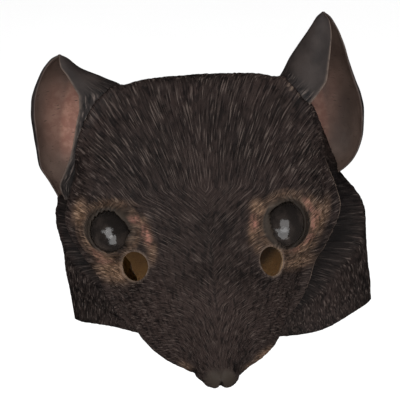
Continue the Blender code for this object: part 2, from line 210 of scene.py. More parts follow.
def curve(xs, ys, at):
    """Monotone cubic through (xs, ys), along the first axis of ys."""
    xs = np.asarray(xs, float)
    ys = np.asarray(ys, float)
    step = np.diff(xs).reshape((-1,) + (1,) * (ys.ndim - 1))
    slope = np.diff(ys, axis=0) / step
    tangent = np.zeros_like(ys)
    tangent[0] = slope[0]
    tangent[-1] = slope[-1]
    before = slope[:-1]
    after = slope[1:]
    w1 = 2 * step[1:] + step[:-1]
    w2 = step[1:] + 2 * step[:-1]
    same = before * after > 0
    safe_before = np.where(same, before, 1.0)
    safe_after = np.where(same, after, 1.0)
    tangent[1:-1] = np.where(same, (w1 + w2) / (w1 / safe_before + w2 / safe_after), 0.0)
    at = np.clip(np.asarray(at, float), xs[0], xs[-1])
    k = np.clip(np.searchsorted(xs, at, side="right") - 1, 0, len(xs) - 2)
    wide = (xs[k + 1] - xs[k]).reshape((-1,) + (1,) * (ys.ndim - 1))
    f = ((at - xs[k]).reshape(wide.shape)) / wide
    h00 = (1 + 2 * f) * (1 - f) ** 2
    h10 = f * (1 - f) ** 2
    h01 = f * f * (3 - 2 * f)
    h11 = f * f * (f - 1)
    return h00 * ys[k] + h10 * wide * tangent[k] + h01 * ys[k + 1] + h11 * wide * tangent[k + 1]


def section_reach(angles):
    """Reach of every section at the angles, with the left shoulder added."""
    folded = np.abs((np.asarray(angles, float) + 180.0) % 360.0 - 180.0)
    columns = np.array([-SECTION_ANGLES[1], *SECTION_ANGLES, 360 - SECTION_ANGLES[-2]], float)
    reach = np.array([row[6] for row in SECTIONS], float)
    wrapped = np.concatenate([reach[:, 1:2], reach, reach[:, -2:-1]], axis=1)
    shoulder = np.array([row[7] for row in SECTIONS], float)
    left = bell(np.asarray(angles, float) % 360.0 - SHOULDER_AT, SHOULDER_WIDE)
    return curve(columns, wrapped.T, folded).T + shoulder[:, None] * left


def ring_points(row, reach, angles):
    """Points round one section."""
    back, up, tilt, shift, lift, turn, hem = row
    around = np.radians(np.asarray(angles, float) + turn)
    place = np.asarray(angles, float) % 360.0
    raised = bell(place - HEM_LEFT_AT, HEM_WIDE) - HEM_FALL * bell(place - HEM_RIGHT_AT, HEM_WIDE)
    across = reach * np.sin(around)
    along = reach * np.cos(around)
    lean = math.radians(tilt)
    x = (across + shift) * CHEEK_REACH / 100
    y = (back + along * math.sin(lean)) * NOSE_REACH / 100
    z = (up + along * math.cos(lean) + lift * across / 90 + hem * raised) * CROWN_REACH / 100
    return np.stack([x, y, z], axis=1)


RING_ROWS = np.array([(*row[:6], row[8]) for row in SECTIONS], float)


def stations():
    """Mean way over the form from the nose to each section."""
    angles = np.arange(0, 360, 15)
    reach = section_reach(angles)
    points = np.array([ring_points(row, reach[i], angles) for i, row in enumerate(RING_ROWS)])
    steps = np.linalg.norm(np.diff(points, axis=0), axis=2).mean(axis=1)
    return np.concatenate([[0.0], np.cumsum(steps)])


STATIONS = stations()


def sections_at(at, angles):
    return curve(STATIONS, RING_ROWS, at), curve(STATIONS, section_reach(angles), at)


def form_points(at, angles):
    """Grid of points of the plain form."""
    rows, reach = sections_at(at, angles)
    return np.array([ring_points(rows[i], reach[i], angles) for i in range(len(at))])


def form_normals(at, angles):
    at = np.asarray(at, float)
    angles = np.asarray(angles, float)
    low = np.maximum(at - 0.0012, STATIONS[0] + 1e-6)
    high = np.minimum(at + 0.0012, STATIONS[-1])
    along = form_points(high, angles) - form_points(low, angles)
    round_it = form_points(at, angles + 1.0) - form_points(at, angles - 1.0)
    return unit(np.cross(round_it, along))


def turned_axes(side, turn, lean):
    """Across, up and outward axes of what faces forward, turned outward to its side and leant up."""
    a = math.radians(turn) * side
    b = math.radians(lean)
    out = np.array([math.sin(a) * math.cos(b), -math.cos(a) * math.cos(b), math.sin(b)])
    across = np.array([math.cos(a), math.sin(a), 0.0])
    up = np.cross(out, across) * -1
    if up[2] < 0:
        up = -up
    return np.array([across, up, out])


def eye_axes(side):
    return turned_axes(side, EYE_TURN, EYE_LEAN)


def peep_axes(side):
    return turned_axes(side, PEEP_TURN, PEEP_LEAN)


def eye_middle(side):
    across = side * EYE_ACROSS * CHEEK_REACH + FACE_SHIFT
    return np.array([across, EYE_BACK * NOSE_REACH, EYE_UP * CROWN_REACH])


def peep_middle(side):
    return np.array([side * PEEP_ACROSS * CHEEK_REACH + FACE_SHIFT, 0.0, PEEP_UP * CROWN_REACH])


low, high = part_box("eye_left")
SEAT = eye_middle(-1) - np.array((low + high) / 2)


def view_axes():
    """Right, up and back axes of the camera."""
    a = math.radians(VIEW_TURN)
    e = math.radians(VIEW_RISE)
    back = np.array([math.sin(a) * math.cos(e), -math.cos(a) * math.cos(e), math.sin(e)])
    right = np.array([math.cos(a), math.sin(a), 0.0])
    return right, np.cross(back, right), back


def front_view(points):
    """Columns and rows of points in the front view."""
    right, up, back = view_axes()
    scale = VIEW_AWAY / (VIEW_AWAY - points @ back) / PIXEL
    return VIEW_CENTRE[0] + (points @ right) * scale, VIEW_CENTRE[1] - (points @ up) * scale


def smooth(low, high, value):
    t = np.clip((value - low) / (high - low), 0, 1)
    return t * t * (3 - 2 * t)


def dab(px, py, x, y, rx, ry, turn=0.0, soft=1.0):
    """Soft oval patch in the front view, 1 in its middle."""
    a = math.radians(turn)
    u = ((px - x) * math.cos(a) + (py - y) * math.sin(a)) / rx
    v = (-(px - x) * math.sin(a) + (py - y) * math.cos(a)) / ry
    return np.exp(-((u * u + v * v) ** soft))


def oval(px, py, x, y, rx, ry):
    """Distance from an oval's middle in the front view, 1 on the oval."""
    return np.hypot((px - x) / rx, (py - y) / ry)


def line(px, py, corners, wide):
    """Soft line through corners in the front view, 1 along it."""
    best = np.full(len(px), 1e9)
    for (x0, y0), (x1, y1) in zip(corners[:-1], corners[1:]):
        dx, dy = x1 - x0, y1 - y0
        share = np.clip(((px - x0) * dx + (py - y0) * dy) / (dx * dx + dy * dy), 0, 1)
        best = np.minimum(best, np.hypot(px - x0 - share * dx, py - y0 - share * dy))
    return np.exp(-((best / wide) ** 2))


def value_noise(points, size, seed):
    """Smooth noise from -1 to 1 at points, with features of the given size."""
    table = np.random.default_rng(seed).uniform(-1, 1, 4096)
    p = points / size
    cell = np.floor(p).astype(int)
    f = p - cell
    f = f * f * (3 - 2 * f)
    total = np.zeros(len(points))
    for corner in np.ndindex(2, 2, 2):
        keys = (cell + corner) * (73856093, 19349663, 83492791)
        key = keys[:, 0] ^ keys[:, 1] ^ keys[:, 2]
        total += np.where(corner, f, 1 - f).prod(axis=1) * table[key % 4096]
    return total


def new_mesh(name, verts, faces, uvs=None, slots=(), index=0):
    """Mesh object from numpy points and triangles."""
    mesh = bpy.data.meshes.new(name)
    mesh.vertices.add(len(verts))
    mesh.vertices.foreach_set("co", np.asarray(verts, np.float32).ravel())
    mesh.loops.add(len(faces) * 3)
    mesh.loops.foreach_set("vertex_index", np.asarray(faces, np.int32).ravel())
    mesh.polygons.add(len(faces))
    mesh.polygons.foreach_set("loop_start", np.arange(len(faces), dtype=np.int32) * 3)
    mesh.update(calc_edges=True)
    for key, value in (uvs or {}).items():
        layer = mesh.uv_layers.new(name=key)
        layer.data.foreach_set("uv", np.asarray(value, np.float32).ravel())
    for material in slots:
        mesh.materials.append(material)
    mesh.polygons.foreach_set("material_index", np.full(len(faces), index, np.int32))
    mesh.polygons.foreach_set("use_smooth", np.ones(len(faces), bool))
    mesh.validate()
    obj = bpy.data.objects.new(name, mesh)
    bpy.context.collection.objects.link(obj)
    return obj


def cut(target, cutters):
    """Cuts the target by the cutters for good and takes them away."""
    for cutter in cutters:
        modifier = target.modifiers.new("cut", "BOOLEAN")
        modifier.operation = "DIFFERENCE"
        modifier.solver = "MANIFOLD"
        modifier.object = cutter
    graph = bpy.context.evaluated_depsgraph_get()
    mesh = bpy.data.meshes.new_from_object(target.evaluated_get(graph))
    target.modifiers.clear()
    old = target.data
    target.data = mesh
    bpy.data.meshes.remove(old)
    for cutter in cutters:
        bpy.data.objects.remove(cutter)


def grid_faces(rings, around, first=0):
    """Triangles of a grid of points, ring after ring, with the ring and the place of each corner."""
    i, j = np.indices((rings - 1, around)).reshape(2, -1)
    k = j + 1
    a = first + i * around + j
    b = first + i * around + k % around
    c = b + around
    d = a + around
    faces = np.concatenate([np.stack([a, b, c], 1), np.stack([a, c, d], 1)])
    rings_at = np.concatenate([np.stack([i, i, i + 1], 1), np.stack([i, i + 1, i + 1], 1)])
    places = np.concatenate([np.stack([j, k, k], 1), np.stack([j, k, j], 1)])
    return faces, rings_at, places


def closed_faces(rings, around):
    """Triangles of a closed body made of a first point, rings and a last point, else as in grid_faces."""
    j = np.arange(around)
    k = (j + 1) % around
    last = 1 + (rings - 1) * around
    cap = np.stack([np.zeros(around, int), 1 + k, 1 + j], 1)
    rim = np.stack([last + j, last + k, np.full(around, last + around)], 1)
    walls, ring_at, place = grid_faces(rings, around, first=1)
    return np.concatenate([cap, walls, rim]), ring_at, place


def ellipsoid(name, half, middle, axes, around, levels, slots=(), index=0):
    """Closed ellipsoid with its halves along its three axes."""
    lat = np.pi * np.arange(1, levels) / levels
    lon = 2 * np.pi * np.arange(around) / around
    ring = np.stack([np.outer(np.sin(lat), np.cos(lon)), np.outer(np.sin(lat), np.sin(lon)),
                     np.outer(np.cos(lat), np.ones(around))], axis=2).reshape(-1, 3)
    verts = np.concatenate([[[0, 0, 1]], ring, [[0, 0, -1]]])
    faces = closed_faces(levels - 1, around)[0][:, ::-1]
    return new_mesh(name, (verts * half) @ axes + middle, faces, slots=slots, index=index)


def tube(name, half, middle, axes, around, slots=(), index=0):
    """Closed tube with its halves across, up and along its axes."""
    a = 2 * np.pi * np.arange(around) / around
    ring = np.stack([half[0] * np.cos(a), half[1] * np.sin(a)], 1)
    verts = [(0, 0, -half[2])] + [(x, y, z) for z in (-half[2], half[2]) for x, y in ring] + [(0, 0, half[2])]
    faces = closed_faces(2, around)[0]
    return new_mesh(name, np.array(verts) @ axes + middle, faces, slots=slots, index=index)


def paint(obj, name, values):
    """Stores a value or a colour for each point of a mesh."""
    values = np.asarray(values, np.float32)
    if values.ndim == 1:
        layer = obj.data.attributes.new(name, "FLOAT", "POINT")
        layer.data.foreach_set("value", values)
    else:
        full = np.ones((len(values), 4), np.float32)
        full[:, :values.shape[1]] = values
        layer = obj.data.attributes.new(name, "FLOAT_COLOR", "POINT")
        layer.data.foreach_set("color", full.ravel())


def points_of(obj):
    co = np.zeros(len(obj.data.vertices) * 3, np.float32)
    obj.data.vertices.foreach_get("co", co)
    return co.reshape(-1, 3).astype(float)


def tree_of(points):
    tree = KDTree(len(points))
    for i, p in enumerate(points):
        tree.insert(p, i)
    tree.balance()
    return tree


def nearest_index(tree_points, points):
    tree = tree_of(tree_points)
    return np.array([tree.find(p)[1] for p in points])


def seated(obj):
    """Moves a piece from the face's own frame to the frame of the part."""
    co = points_of(obj) - SEAT
    obj.data.vertices.foreach_set("co", co.astype(np.float32).ravel())
    obj.data.update()


def ear_sheet(name, side):
    """Middle of one ear's wall as a grid of points, the middles of its levels, and the levels."""
    rows = np.array(EAR_LEVELS[name], float)
    up_share = np.linspace(0, 1, EAR_RINGS)
    levels = curve(np.linspace(0, 1, len(rows)), rows, up_share)
    share = np.linspace(0, 1, EAR_STEPS)
    grid = []
    centres = []
    for up, inner_x, rim_x, outer_x, back, deep, start in levels:
        middle = (inner_x + outer_x) / 2
        half_x = (outer_x - inner_x) / 2
        end = 360.0 - math.degrees(math.acos(max(-1.0, min(0.6, (rim_x - middle) / half_x))))
        angle = np.radians(start + (end - start) * share)
        x = side * (middle + half_x * np.cos(angle)) * CHEEK_REACH
        y = (back + deep * np.sin(angle)) * NOSE_REACH
        grid.append(np.stack([x, y, np.full_like(x, up) * CROWN_REACH], axis=1) / 100)
        centres.append([side * middle * CHEEK_REACH / 100, back * NOSE_REACH / 100, up * CROWN_REACH / 100])
    grid = np.array(grid)
    centres = np.array(centres)
    closing = np.sqrt(1 - 0.88 * np.clip((up_share - 0.93) / 0.07, 0, 1) ** 2)
    grid = centres[:, None] + (grid - centres[:, None]) * closing[:, None, None]
    return grid, centres, levels


class Look:
    """A material made of nodes."""

    def __init__(self, name):
        self.material = bpy.data.materials.new(name)
        self.material.use_nodes = True
        self.tree = self.material.node_tree
        self.shader = self.tree.nodes["Principled BSDF"]

    def put(self, socket, value):
        if isinstance(value, bpy.types.NodeSocket):
            self.tree.links.new(value, socket)
        else:
            socket.default_value = value

    def node(self, kind, settings=None, **inputs):
        made = self.tree.nodes.new(kind)
        for key, value in (settings or {}).items():
            setattr(made, key, value)
        for key, value in inputs.items():
            self.put(made.inputs[int(key[1:]) if key[1:].isdigit() else key.replace("_", " ")], value)
        return made

    def stored(self, name, output="Fac"):
        return self.node("ShaderNodeAttribute", {"attribute_name": name}).outputs[output]

    def place(self):
        return self.node("ShaderNodeTexCoord").outputs["Object"]

    def flow(self):
        return self.node("ShaderNodeUVMap", {"uv_map": "flow"}).outputs[0]

    def split(self, colour):
        return self.node("ShaderNodeSeparateColor", Color=colour).outputs

    def scaled(self, vector, factors):
        return self.node("ShaderNodeVectorMath", {"operation": "MULTIPLY"}, i0=vector, i1=factors).outputs[0]

    def noise(self, vector, scale, detail=2.0, rough=0.5, distortion=0.0):
        return self.node("ShaderNodeTexNoise", Vector=vector, Scale=scale, Detail=detail, Roughness=rough,
                         Distortion=distortion).outputs[0]

    def math(self, operation, a, b, clamp=False):
        settings = {"operation": operation, "use_clamp": clamp}
        return self.node("ShaderNodeMath", settings, i0=a, i1=b).outputs[0]

    def times(self, a, b, clamp=False):
        return self.math("MULTIPLY", a, b, clamp)

    def span(self, value, low, high, to_low=0.0, to_high=1.0):
        made = self.node("ShaderNodeMapRange", {"interpolation_type": "SMOOTHSTEP"}, Value=value)
        for key, number in zip(("From Min", "From Max", "To Min", "To Max"), (low, high, to_low, to_high)):
            made.inputs[key].default_value = number
        return made.outputs[0]

    def mix(self, share, a, b):
        made = self.node("ShaderNodeMix", {"data_type": "RGBA"})
        self.put(made.inputs[0], share)
        for socket, value in ((made.inputs[6], a), (made.inputs[7], b)):
            self.put(socket, (*value, 1.0) if isinstance(value, tuple) and len(value) == 3 else value)
        return made.outputs[2]

    def bump(self, height, distance, strength=1.0, normal=None):
        made = self.node("ShaderNodeBump", Height=height, Distance=distance, Strength=strength)
        if normal is not None:
            self.put(made.inputs["Normal"], normal)
        return made.outputs[0]

    def finish(self, **values):
        for key, value in values.items():
            self.put(self.shader.inputs[key.replace("_", " ")], value)
        return self.material


def fur_look():
    """Painted latex with fine hair lines along the flow of the sculpted fur."""
    look = Look("fur_latex")
    flow = look.flow()
    place = look.place()
    masks = look.split(look.stored("masks", "Color"))
    relief = look.stored("relief")
    tone = look.stored("tone")
    hair = look.noise(look.scaled(flow, (1150.0, 130.0, 1.0)), 1.0, 2.0, 0.55, 0.30)
    tuft = look.noise(look.scaled(flow, (420.0, 90.0, 1.0)), 1.0, 2.0, 0.5, 0.3)
    cloud = look.noise(place, 32.0, 3.0, 0.55)
    mottle = look.noise(place, 240.0, 3.0, 0.6)
    grain = look.noise(place, 1500.0, 2.0, 0.6)

    lit = look.span(hair, 0.54, 0.64)
    base = look.mix(look.span(cloud, 0.35, 0.7), (0.0118, 0.0077, 0.0067), (0.0215, 0.0137, 0.0118))
    base = look.mix(look.span(tone, 0.0, 2.0, 0.0, 0.80), base, (0.034, 0.0222, 0.0190))
    # Painted shade between the strokes and in the low hair lines; painted highlight on the strokes' ridges
    # and the lit hair lines, partly the real lighter paint brushed on the ridges
    base = look.mix(look.times(look.span(relief, 0.25, 0.0), 0.5), base, NEAR_BLACK)
    base = look.mix(look.times(look.span(relief, 0.55, 1.0), 0.20), base, (0.068, 0.050, 0.042))
    ridge = look.times(lit, look.span(tuft, 0.40, 0.60, 0.12, 0.55))
    base = look.mix(ridge, base, (0.105, 0.080, 0.068))
    base = look.mix(look.times(look.span(hair, 0.46, 0.36), 0.75), base, (0.0040, 0.0028, 0.0027))

    skin = look.mix(look.span(cloud, 0.4, 0.6), (0.0200, 0.0148, 0.0112), (0.0300, 0.0225, 0.0172))
    base = look.mix(masks[2], base, skin)
    tan = look.times(masks[0], look.span(tuft, 0.30, 0.52, 0.60, 1.0))
    tan = look.times(tan, look.span(hair, 0.36, 0.48, 0.45, 1.0), clamp=True)
    brown = look.mix(look.span(mottle, 0.42, 0.6), (0.100, 0.056, 0.031), (0.175, 0.102, 0.062))
    brown = look.mix(look.span(hair, 0.54, 0.64, 0.0, 0.85), brown, (0.320, 0.205, 0.135))
    base = look.mix(tan, base, brown)
    pink = look.times(masks[1], look.span(mottle, 0.42, 0.58, 0.25, 1.0))
    pink = look.times(pink, look.span(hair, 0.36, 0.50, 0.35, 0.85), clamp=True)
    base = look.mix(pink, base, (0.270, 0.115, 0.088))
    # Painted shade from the stored shade mask
    base = look.mix(look.stored("shade"), base, NEAR_BLACK)
    # Lighter lines from the stored edge mask: along the fold's crest a painted highlight together with wear,
    # elsewhere light paint
    edge = look.times(look.stored("edge"), look.span(mottle, 0.38, 0.55, 0.45, 0.95))
    base = look.mix(edge, base, (0.138, 0.098, 0.074))

    rough = look.span(mottle, 0.3, 0.7, 0.50, 0.64)
    rough = look.math("SUBTRACT", rough, look.times(masks[2], 0.14))
    plain = look.math("SUBTRACT", 1.0, look.times(masks[2], 0.9))
    height = look.times(look.math("ADD", hair, look.times(tuft, 0.8)), plain)
    normal = look.bump(height, 0.0009, 0.75)
    normal = look.bump(grain, 0.00012, 0.5, normal)
    return look.finish(Base_Color=base, Roughness=rough, Normal=normal, Specular_IOR_Level=0.14)


def bare_look():
    """Bare amber latex on the inside."""
    look = Look("bare_latex")
    place = look.place()
    cloud = look.noise(place, 26.0, 3.0, 0.6)
    speck = look.noise(place, 420.0, 2.0, 0.6)
    grain = look.noise(place, 900.0, 3.0, 0.6)
    base = look.mix(look.span(cloud, 0.3, 0.7), (0.098, 0.046, 0.0105), (0.145, 0.070, 0.0180))
    base = look.mix(look.times(look.span(speck, 0.60, 0.70), 0.35), base, (0.052, 0.025, 0.007))
    # Painted shadow: a dark area on the inside behind the right peephole
    parts = look.split(place)
    deep = look.math("SUBTRACT", look.times(parts[0], 0.8), look.times(parts[2], 0.6))
    deep = look.times(look.span(deep, 0.131, 0.124), look.span(parts[0], 0.020, 0.035))
    base = look.mix(look.times(deep, 0.8), base, (0.010, 0.0055, 0.0025))
    normal = look.bump(look.math("ADD", look.times(cloud, 3.0), grain), 0.0006, 0.5)
    return look.finish(Base_Color=base, Roughness=look.span(speck, 0.3, 0.7, 0.42, 0.60), Normal=normal,
                       Specular_IOR_Level=0.2, Subsurface_Weight=0.15,
                       Subsurface_Radius=(0.004, 0.002, 0.001))


def edge_look():
    """The cut edge of the latex, where the wall shows."""
    look = Look("cut_latex")
    place = look.place()
    speck = look.noise(place, 700.0, 2.0, 0.6)
    base = look.mix(look.span(speck, 0.35, 0.65), (0.130, 0.082, 0.046), (0.230, 0.150, 0.090))
    normal = look.bump(speck, 0.0003, 0.6)
    return look.finish(Base_Color=base, Roughness=0.55, Normal=normal, Specular_IOR_Level=0.22)


def ear_look():
    """Painted latex of the ears, pink and speckled in the cup and dark brown outside."""
    look = Look("ear_latex")
    flow = look.flow()
    place = look.place()
    masks = look.split(look.stored("masks", "Color"))
    cloud = look.noise(place, 45.0, 3.0, 0.6)
    mottle = look.noise(place, 210.0, 4.0, 0.6)
    dash = look.noise(look.scaled(flow, (190.0, 900.0, 1.0)), 1.0, 2.0, 0.6)
    hair = look.noise(look.scaled(flow, (900.0, 150.0, 1.0)), 1.0, 2.0, 0.55, 0.25)
    grain = look.noise(place, 1100.0, 3.0, 0.6)

    outside = look.mix(look.span(cloud, 0.35, 0.68), (0.0175, 0.0130, 0.0120), (0.0320, 0.0240, 0.0215))
    fur = look.mix(look.span(hair, 0.36, 0.50), (0.0050, 0.0038, 0.0038), (0.0160, 0.0118, 0.0108))
    fur = look.mix(look.span(hair, 0.54, 0.72), fur, (0.080, 0.062, 0.053))
    outside = look.mix(masks[2], outside, fur)
    inside = look.mix(look.span(cloud, 0.32, 0.66), (0.074, 0.0490, 0.0390), (0.115, 0.0780, 0.0630))
    pink = look.mix(look.span(mottle, 0.36, 0.64), (0.265, 0.122, 0.090), (0.370, 0.200, 0.150))
    inside = look.mix(masks[0], inside, pink)
    dark = look.times(look.span(dash, 0.60, 0.68), look.span(mottle, 0.44, 0.58))
    inside = look.mix(look.times(dark, 0.70), inside, (0.022, 0.012, 0.009))
    base = look.mix(masks[1], outside, inside)
    # Painted shade from the stored shade mask
    base = look.mix(look.stored("shade"), base, (0.0100, 0.0070, 0.0060))
    # Lighter along the ear's rim
    rim_lighter = look.times(look.stored("edge"), look.span(mottle, 0.34, 0.56, 0.35, 1.0))
    base = look.mix(rim_lighter, base, (0.115, 0.084, 0.067))
    height = look.math("ADD", look.times(mottle, 0.8), look.times(hair, masks[2]))
    normal = look.bump(height, 0.0007, 0.6)
    normal = look.bump(grain, 0.00015, 0.5, normal)
    return look.finish(Base_Color=base, Roughness=look.span(mottle, 0.3, 0.7, 0.46, 0.60), Normal=normal,
                       Specular_IOR_Level=0.22)


def eye_look():
    """Glossy near-black eye with a slightly uneven surface."""
    look = Look("eye_gloss")
    place = look.place()
    cloud = look.noise(place, 120.0, 2.0, 0.5)
    wave = look.noise(place, 210.0, 3.0, 0.55)
    base = look.mix(look.span(cloud, 0.40, 0.72), (0.0080, 0.0066, 0.0060), (0.0190, 0.0148, 0.0128))
    normal = look.bump(wave, 0.0006, 0.60)
    return look.finish(Base_Color=base, Roughness=look.span(wave, 0.3, 0.7, 0.07, 0.16), Normal=normal,
                       Specular_IOR_Level=0.4)


fur = fur_look()
bare = bare_look()
edges = edge_look()
ear_paint = ear_look()
eye_paint = eye_look()


def spread(t, density, count):
    """Places along t that lie closer where the density is higher."""
    way = np.concatenate([[0.0], np.cumsum((density[1:] + density[:-1]) / 2)])
    return np.interp(np.linspace(0, way[-1], count), way, t)


# The outside of the skin, as a grid of rings from the nose to the neck rim
total = STATIONS[-1]
t = np.linspace(0.0, total, 4001)
density = 1.0 + 1.6 * bell(t - STATIONS[FOLD_ROW], 0.010) + 0.9 * bell(t - 0.004, 0.010)
density *= 1.0 - 0.25 * smooth(STATIONS[BEHIND_ROW], STATIONS[BEHIND_ROW + 2], t)
at = spread(t, density, SKIN_RINGS)[1:]
t = np.linspace(0.0, 180.0, 1801)
half = spread(t, 1.0 - 0.62 * smooth(112.0, 135.0, t), SKIN_HALF)
angles = np.concatenate([half, 360 - half[-2:0:-1]])
form = form_points(at, angles)
normals = form_normals(at, angles)
rings, around = form.shape[:2]
from_top = np.abs((angles + 180) % 360 - 180)

# Lids: the skin runs up over each eye as far as the eye's oval and stays under it inside the oval
flat = form.reshape(-1, 3).copy()
back_share = bell(from_top, 32)
flat[:, 2] -= HEM_BACK * np.repeat(smooth(STATIONS[-2], total, at), around) * np.tile(back_share, rings)
for side in (-1, 1):
    axes = eye_axes(side)
    local = (flat - eye_middle(side)) @ axes.T
    over = 1 - (local[:, 0] / (EYE_WIDE / 2)) ** 2 - (local[:, 1] / (EYE_TALL / 2)) ** 2
    dome = EYE_DEEP / 2 * np.sqrt(np.maximum(over, 0))
    on_dome = np.stack([local[:, 0], local[:, 1], dome], 1) @ axes + eye_middle(side)
    shown = oval(*front_view(on_dome), *DOME_OVAL[side])
    cover = smooth(0.97, 1.05, shown)
    lid_edge = oval(*front_view(on_dome), *LID_OVAL[side])
    thick = LID_THICK + 0.0012 * bell(lid_edge - 1.0, 0.10)
    wide = (local[:, 0] / (EYE_WIDE / 2 + 0.002)) ** 2 + (local[:, 1] / (EYE_TALL / 2 + 0.002)) ** 2
    bulge = np.where(wide < 1, (EYE_DEEP / 2 + thick) * np.sqrt(np.maximum(1 - wide, 0)), -0.05)
    bulge = np.where(over > 0, np.maximum(bulge, dome + thick), bulge)
    soft = 0.0012
    lid = soft * np.logaddexp(local[:, 2] / soft, bulge / soft)
    under = np.where(over > 0, np.minimum(local[:, 2], dome - 0.0015), local[:, 2])
    raised = cover * lid + (1 - cover) * under - local[:, 2]
    raised = np.where((local[:, 2] > -0.010) & (wide < 2.5), raised, 0.0)
    flat = flat + raised[:, None] * axes[2]
form = flat.reshape(form.shape)
changed = np.linalg.norm(flat - form_points(at, angles).reshape(-1, 3), axis=1) > 2e-5
again = unit(np.cross(np.gradient(form, axis=1), np.gradient(form, axis=0)).reshape(-1, 3))
again *= np.sign((again * normals.reshape(-1, 3)).sum(axis=1, keepdims=True))
flat_normal = np.where(changed[:, None], again, normals.reshape(-1, 3))
flat_along = unit(np.gradient(form, axis=0)).reshape(-1, 3)
px, py = front_view(flat)
facing = smooth(-0.05, 0.25, flat_normal @ view_axes()[2])
station = np.repeat(at, around)

# Distance of each point from the eyes and from the peepholes
eye_half = np.array([EYE_WIDE, EYE_TALL, EYE_DEEP]) / 2
eye_far = []
eye_flow = np.zeros_like(flat)
eye_share = np.zeros(len(flat))
peep_far = []
for side in (-1, 1):
    axes = eye_axes(side)
    local = (flat - eye_middle(side)) @ axes.T
    size = np.linalg.norm(local / eye_half, axis=1)
    far = (size - 1) * np.linalg.norm(local, axis=1) / np.maximum(size, 1e-9)
    eye_far.append(far)
    round_eye = unit(np.cross(flat_normal, flat - eye_middle(side)))
    share = 1 - smooth(0.006, 0.016, far)
    eye_flow += round_eye * share[:, None]
    eye_share = np.maximum(eye_share, share)
    axes = peep_axes(side)
    local = (flat - peep_middle(side)) @ axes.T
    size = np.hypot(local[:, 0] / (PEEP_WIDE / 2), local[:, 1] / (PEEP_TALL / 2))
    front = smooth(-0.02, 0.0, local[:, 2])
    peep_far.append(np.where(front > 0, (size - 1) * (PEEP_WIDE + PEEP_TALL) / 4, 1.0))
eye_any = np.minimum(*eye_far)
peep_any = np.minimum(*peep_far)
lid_far = []
for side, far in zip((-1, 1), eye_far):
    x, y, rx, ry = LID_OVAL[side]
    outside = (oval(px, py, x, y, rx, ry) - 1) * (rx + ry) / 2 * PIXEL
    lid_far.append(np.where((facing > 0) & (np.abs(far) < 0.03), outside, 1.0))
lid_any = np.minimum(*lid_far)

# Where the hair runs, how long it is and how deep
turn_sign = np.sign((eye_flow * flat_along).sum(axis=1, keepdims=True))
direction = flat_along * (1 - eye_share[:, None]) + eye_flow * np.where(turn_sign == 0, 1, turn_sign)
direction -= flat_normal * (direction * flat_normal).sum(axis=1, keepdims=True)
direction = unit(direction)
nose = 1 - smooth(0.004, 0.010, station)
length = 0.0042 + 0.0030 * smooth(0.05, 0.11, station)
length += 0.0020 * smooth(STATIONS[FOLD_ROW], STATIONS[BEHIND_ROW], station)
depth = 0.00028 + 0.00014 * smooth(0.03, 0.10, station)
depth = depth * (1 - 0.35 * dab(px, py, 205, 150, 45, 45) * facing)
depth = depth * (1 + 0.35 * dab(px, py, 105, 140, 34, 40) * facing)
depth = depth * (1 - 0.55 * (1 - smooth(0.0015, 0.006, eye_any))) * (1 - nose)

rng = np.random.default_rng(7)
cell = np.linalg.norm(np.cross(np.gradient(form, axis=0), np.gradient(form, axis=1)), axis=2).reshape(-1)
wide = length * 0.30
chance = cell / (length * wide * 0.55)
chosen = np.nonzero(rng.uniform(0, 1, len(flat)) < chance)[0]
tree = tree_of(flat)
relief = np.zeros(len(flat))
tone = np.zeros(len(flat))
for i in chosen:
    p = flat[i]
    d = direction[i]
    n = flat_normal[i]
    c = np.cross(n, d)
    wobble = rng.normal(0, 0.13)
    d, c = d * math.cos(wobble) + c * math.sin(wobble), c * math.cos(wobble) - d * math.sin(wobble)
    reach = length[i] * rng.uniform(0.75, 1.3) / 2
    slim = wide[i] * rng.uniform(0.7, 1.25) / 2
    tall = rng.uniform(0.45, 1.0)
    shade = rng.uniform(0, 1)
    near = tree.find_range(p, reach)
    if len(near) < 3:
        continue
    index = np.array([x[1] for x in near])
    off = flat[index] - p
    s = (off @ d) / reach
    r = (off @ c) / (slim * (1.05 - 0.45 * s))
    height = tall * np.clip(1 - r * r, 0, 1) * np.clip(1 - s * s, 0, 1) ** 0.6 * (0.65 - 0.35 * s)
    higher = height > relief[index]
    relief[index[higher]] = height[higher]
    tone[index[higher]] = shade
relief = np.clip(relief / 0.9, 0, 1)

# Lids, wrinkles and the other larger forms of the skin
swell = (relief - 0.35) * depth * 1.55
swell += 0.00045 * value_noise(flat, 0.016, 3) * (1 - nose)
wrinkle = 0.5 + 0.5 * value_noise(flat, 0.007, 11)
creases = np.zeros(len(flat))
for place, wide in ((0.0022, 0.0007), (0.0043, 0.0007), (0.0066, 0.0008)):
    ring = bell(lid_any + 0.0006 * wrinkle - place, wide)
    creases = np.maximum(creases, ring * (0.35 + 0.65 * wrinkle))
for x, y, rx, ry, slope in ((113, 267, 17, 13, 0.10), (296, 262, 17, 12, 0.30)):
    wave = (py + slope * (px - x)) / 3.6 + 0.5 * value_noise(flat, 0.006, 15)
    stripe = 0.5 + 0.5 * np.sin(2 * np.pi * wave)
    creases = np.maximum(creases, 0.8 * stripe ** 3 * dab(px, py, x, y, rx, ry, 0, 2.0) * facing)
creases *= smooth(0.0004, 0.0020, peep_any)
swell -= 0.00055 * creases
swell += 0.0005 * bell(peep_any - 0.0012, 0.0012)
low_nose = np.clip((-0.0305 - flat[:, 2]) / 0.006, -1, 1)
cleft = bell(flat[:, 0], 0.0009) * bell(station, 0.010) * smooth(-0.5, 0.6, low_nose)
swell -= 0.0009 * cleft
nose_dents = np.zeros(len(flat))
toward = flat_normal @ view_axes()[2]
for x, y, turn in ((193.5, 369.0, 12), (236.5, 364.0, -12)):
    nose_dents = np.maximum(nose_dents, dab(px, py, x, y, 2.8, 5.0, turn) * smooth(-0.4, 0.0, toward))
swell -= 0.0014 * nose_dents
